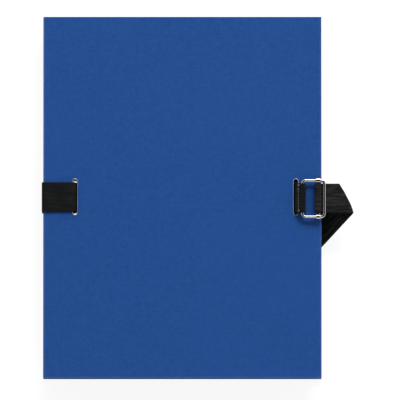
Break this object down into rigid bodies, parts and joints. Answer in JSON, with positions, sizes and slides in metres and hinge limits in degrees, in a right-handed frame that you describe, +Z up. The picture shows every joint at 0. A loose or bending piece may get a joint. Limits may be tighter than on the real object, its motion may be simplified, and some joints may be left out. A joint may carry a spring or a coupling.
{
  "type": "archival box",
  "caption": "Flat strap-closed archival document case: two cloth-covered board covers, expanding spine gusset, inner flaps and a webbing strap with a sliding wire buckle.",
  "frame": {"origin": "centre of the whole footprint, strap end included, on the surface the closed case lies on", "axes": "+X from the spine to the fore-edge, +Y from the foot to the head, +Z up through the case from back cover to front cover"},
  "size_m": [0.2759, 0.32, 0.0289],
  "materials": {
    "board": "raw grey board",
    "covering": "matt blue covering paper with a fine linen grain",
    "lining": "smooth blue lining paper",
    "spine_cloth": "plain-weave book cloth, dark blue",
    "flap_card": "blue card, lightly grained",
    "eyelet_nickel": "nickel plated, satin",
    "webbing": "black cotton webbing, ribbed weave",
    "thread": "olive grey sewing thread",
    "buckle_nickel": "bright nickel plated wire"
  },
  "bodies": {
    "back_cover": {"back_board": "board", "back_cover_cloth": "covering", "back_lining": "lining", "back_joint_cloth": "spine_cloth", "back_spine_eyelet": "eyelet_nickel", "back_fore_edge_eyelet": "eyelet_nickel", "spine_gusset": "spine_cloth", "strap_spine_run": "webbing", "strap_back_run": "webbing", "head_flap_tab": "flap_card", "foot_flap_tab": "flap_card", "fore_edge_flap_tab": "flap_card", "head_flap_wall": "flap_card", "foot_flap_wall": "flap_card", "fore_edge_flap_wall": "flap_card"},
    "spine_head": {"spine_front_fold": "spine_cloth"},
    "front_cover": {"front_board": "board", "front_cover_cloth": "covering", "front_lining": "lining", "front_joint_cloth": "spine_cloth", "front_spine_eyelet": "eyelet_nickel", "front_fore_edge_eyelet": "eyelet_nickel", "strap_front_run": "webbing", "strap_buckle_loop": "webbing", "strap_stitching": "thread"},
    "buckle": {"buckle_frame": "buckle_nickel"},
    "slider": {"buckle_slider": "buckle_nickel"},
    "strap_fore_edge": {"strap_fore_edge_run": "webbing"},
    "strap_tongue": {"strap_end": "webbing"},
    "head_panel": {"head_flap_panel": "flap_card"},
    "foot_panel": {"foot_flap_panel": "flap_card"},
    "fore_edge_panel": {"fore_edge_flap_panel": "flap_card"}
  },
  "joints": [
    {"name": "spine_expansion", "type": "slide", "parent": "back_cover", "child": "spine_head", "axis": [0, 0, 1], "range_m": [0, 0.08], "deforming": ["spine_gusset", "strap_spine_run"]},
    {"name": "cover_opening", "type": "hinge", "parent": "spine_head", "child": "front_cover", "pos_m": [-0.13659, 0, 0.01875], "axis": [0, -1, 0], "range_deg": [0, 180]},
    {"name": "buckle_swing", "type": "hinge", "parent": "front_cover", "child": "buckle", "pos_m": [0.09266, -0.00185, 0.02605], "axis": [0, -1, 0], "range_deg": [0, 170]},
    {"name": "slider_travel", "type": "slide", "parent": "buckle", "child": "slider", "axis": [-1, 0, 0], "range_m": [0, 0.008]},
    {"name": "strap_release", "type": "hinge", "parent": "back_cover", "child": "strap_fore_edge", "pos_m": [0.10911, -0.00135, 0.0006], "axis": [0, 1, 0], "range_deg": [0, 40], "deforming": ["strap_fore_edge_run"]},
    {"name": "strap_payout", "type": "slide", "parent": "strap_fore_edge", "child": "strap_tongue", "axis": [0, 0, 1], "range_m": [0, 0.08], "deforming": ["strap_end"]},
    {"name": "head_panel_fold", "type": "hinge", "parent": "back_cover", "child": "head_panel", "pos_m": [-0.01359, 0.156, 0.01575], "axis": [-1, 0, 0], "range_deg": [0, 90]},
    {"name": "foot_panel_fold", "type": "hinge", "parent": "back_cover", "child": "foot_panel", "pos_m": [-0.01359, -0.156, 0.01575], "axis": [1, 0, 0], "range_deg": [0, 90]},
    {"name": "fore_edge_panel_fold", "type": "hinge", "parent": "back_cover", "child": "fore_edge_panel", "pos_m": [0.10601, 0, 0.01575], "axis": [0, 1, 0], "range_deg": [0, 90]}
  ],
  "couplings": [
    {"joint": "strap_payout", "follows": "spine_expansion", "ratio": 1},
    {"joint": "strap_release", "follows": "cover_opening", "ratio": 0.22222},
    {"joint": "buckle_swing", "follows": "cover_opening", "ratio": 0.11111},
    {"joint": "slider_travel", "follows": "cover_opening", "m_per_rad": 0.0025},
    {"joint": "head_panel_fold", "follows": "cover_opening", "ratio": 0.5},
    {"joint": "foot_panel_fold", "follows": "cover_opening", "ratio": 0.5},
    {"joint": "fore_edge_panel_fold", "follows": "cover_opening", "ratio": 0.5}
  ]
}
